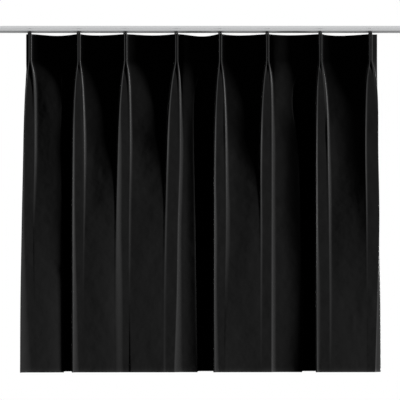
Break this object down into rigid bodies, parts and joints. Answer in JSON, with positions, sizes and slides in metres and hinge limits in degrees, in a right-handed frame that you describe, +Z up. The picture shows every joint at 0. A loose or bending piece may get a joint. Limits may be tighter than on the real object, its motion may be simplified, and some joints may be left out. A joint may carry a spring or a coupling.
{
  "type": "curtain panel and rail",
  "caption": "Double pinch pleated velvet curtain panel hanging in deep soft folds from gliders in a slim slotted rail.",
  "frame": {"origin": "middle of the rail's top face, where it meets the ceiling", "axes": "+X along the rail to the right as seen from the room, -Y towards the room, +Z up"},
  "size_m": [1.2, 0.1103, 0.986],
  "materials": {
    "rail_aluminium": "satin anodised, light grey",
    "velvet": "black cotton velvet, short dense pile",
    "glider_plastic": "moulded, off-white",
    "hook_steel": "zinc plated strip"
  },
  "bodies": {
    "root": {"rail": "rail_aluminium", "curtain": "velvet", "glider_1": "glider_plastic", "glider_2": "glider_plastic", "glider_3": "glider_plastic", "glider_4": "glider_plastic", "glider_5": "glider_plastic", "glider_6": "glider_plastic", "glider_7": "glider_plastic", "glider_8": "glider_plastic", "hook_1": "hook_steel", "hook_2": "hook_steel", "hook_3": "hook_steel", "hook_4": "hook_steel", "hook_5": "hook_steel", "hook_6": "hook_steel", "hook_7": "hook_steel", "hook_8": "hook_steel"}
  },
  "joints": []
}
